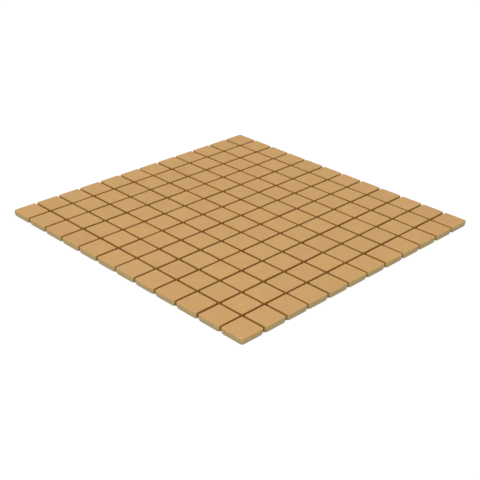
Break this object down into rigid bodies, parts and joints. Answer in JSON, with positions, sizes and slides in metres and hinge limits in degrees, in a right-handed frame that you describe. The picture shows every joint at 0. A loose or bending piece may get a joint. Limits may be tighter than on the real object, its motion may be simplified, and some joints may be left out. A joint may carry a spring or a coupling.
{
  "type": "mosaic tile sheet",
  "caption": "Square sheet of small matt ochre ceramic tiles in a straight grid with open joints, held together by a glass-fibre net bonded to their backs.",
  "frame": {"origin": "middle of the sheet, in the plane that it lies on, which is the underside of the net", "axes": "+Z out of the tiles' face, +X along the tile rows, +Y from the first row to the last"},
  "size_m": [0.298, 0.298, 0.006],
  "materials": {
    "tile": "matte",
    "net": "matte"
  },
  "bodies": {
    "root": {"tile_row_01": "tile", "tile_row_02": "tile", "tile_row_03": "tile", "tile_row_04": "tile", "tile_row_05": "tile", "tile_row_06": "tile", "tile_row_07": "tile", "tile_row_08": "tile", "tile_row_09": "tile", "tile_row_10": "tile", "tile_row_11": "tile", "tile_row_12": "tile", "net_warp": "net", "net_weft": "net"}
  },
  "joints": []
}
